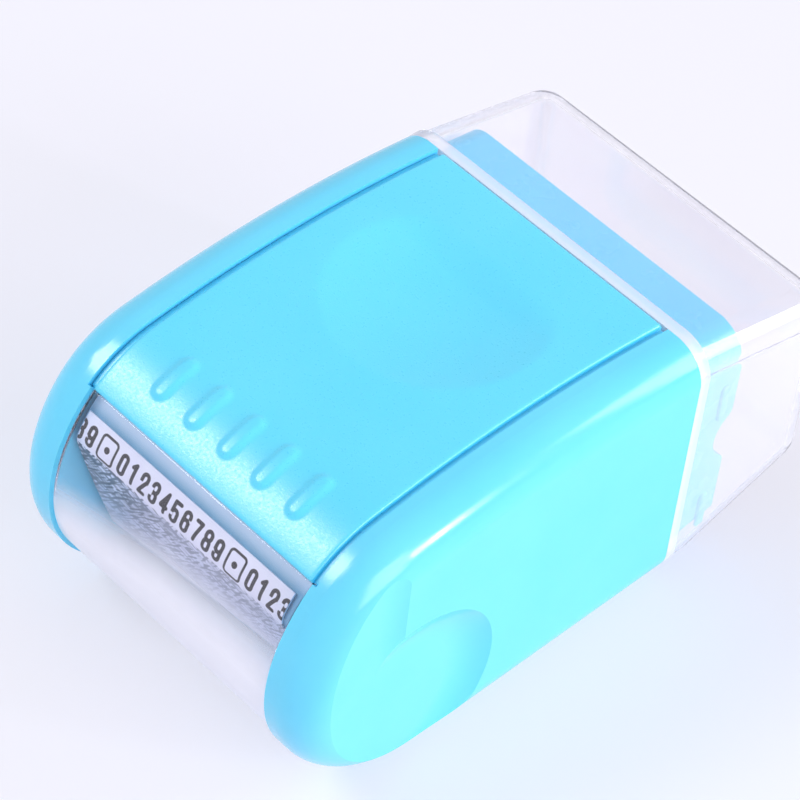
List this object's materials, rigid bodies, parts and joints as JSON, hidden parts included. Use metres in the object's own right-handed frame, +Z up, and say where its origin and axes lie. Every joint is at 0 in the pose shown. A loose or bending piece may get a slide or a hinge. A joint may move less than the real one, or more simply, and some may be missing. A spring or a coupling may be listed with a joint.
{
  "type": "privacy roller stamp",
  "caption": "Hand-held roller stamp with a rounded body, a clear front window, a ribbed thumb rest and a clear wedge cap over its stamping roller.",
  "frame": {"origin": "middle of the underside of the whole stamp, on the surface that it stands on", "axes": "+Y along the stamp towards the cap, window facing -Y, +Z up, X across the stamp"},
  "size_m": [0.044, 0.074, 0.0356],
  "materials": {
    "shell_cyan": "glossy light cyan moulded plastic",
    "cover_cyan": "fine-textured matte light cyan plastic",
    "neck_cyan": "deeper cyan moulded plastic",
    "base_cyan": "matte light cyan plastic",
    "clear_window": "clear polished plastic",
    "clear_cap": "clear polished plastic with a faint violet tint",
    "label_print": "coated white sheet with black print",
    "cassette_white": "white moulded plastic",
    "pin_steel": "ground steel",
    "spool_grey": "light grey moulded plastic",
    "stamp_rubber": "inked stamp rubber",
    "tyre_rubber": "matte black rubber",
    "bush_plastic": "natural bearing plastic",
    "ink_foam": "ink-soaked felt foam"
  },
  "bodies": {
    "housing": {"side_shell_left": "shell_cyan", "side_shell_right": "shell_cyan", "top_cover": "cover_cyan", "bottom_cover": "base_cyan", "window_visor": "clear_window", "neck_frame": "neck_cyan", "cassette_frame": "cassette_white", "cassette_lid": "cassette_white", "index_label": "label_print", "drum_axle": "pin_steel", "ink_axle": "pin_steel"},
    "stamp_drum": {"drum_core": "spool_grey", "stamp_sleeve": "stamp_rubber", "drive_tyre_left": "tyre_rubber", "drive_tyre_right": "tyre_rubber", "drum_bush_left": "bush_plastic", "drum_bush_right": "bush_plastic"},
    "ink_roller": {"ink_core": "spool_grey", "ink_foam": "ink_foam", "ink_bush_left": "bush_plastic", "ink_bush_right": "bush_plastic"},
    "cap": {"cap": "clear_cap"}
  },
  "joints": [
    {"name": "cap_slide", "type": "slide", "parent": "housing", "child": "cap", "axis": [0, 1, 0], "range_m": [0, 0.03]},
    {"name": "drum_spin", "type": "hinge", "parent": "housing", "child": "stamp_drum", "pos_m": [0, 0.014, 0.0167], "axis": [1, 0, 0], "continuous": true},
    {"name": "ink_spin", "type": "hinge", "parent": "housing", "child": "ink_roller", "pos_m": [0, -0.0023, 0.0167], "axis": [1, 0, 0], "continuous": true}
  ],
  "couplings": [
    {"joint": "ink_spin", "follows": "drum_spin", "ratio": -1.7586}
  ]
}
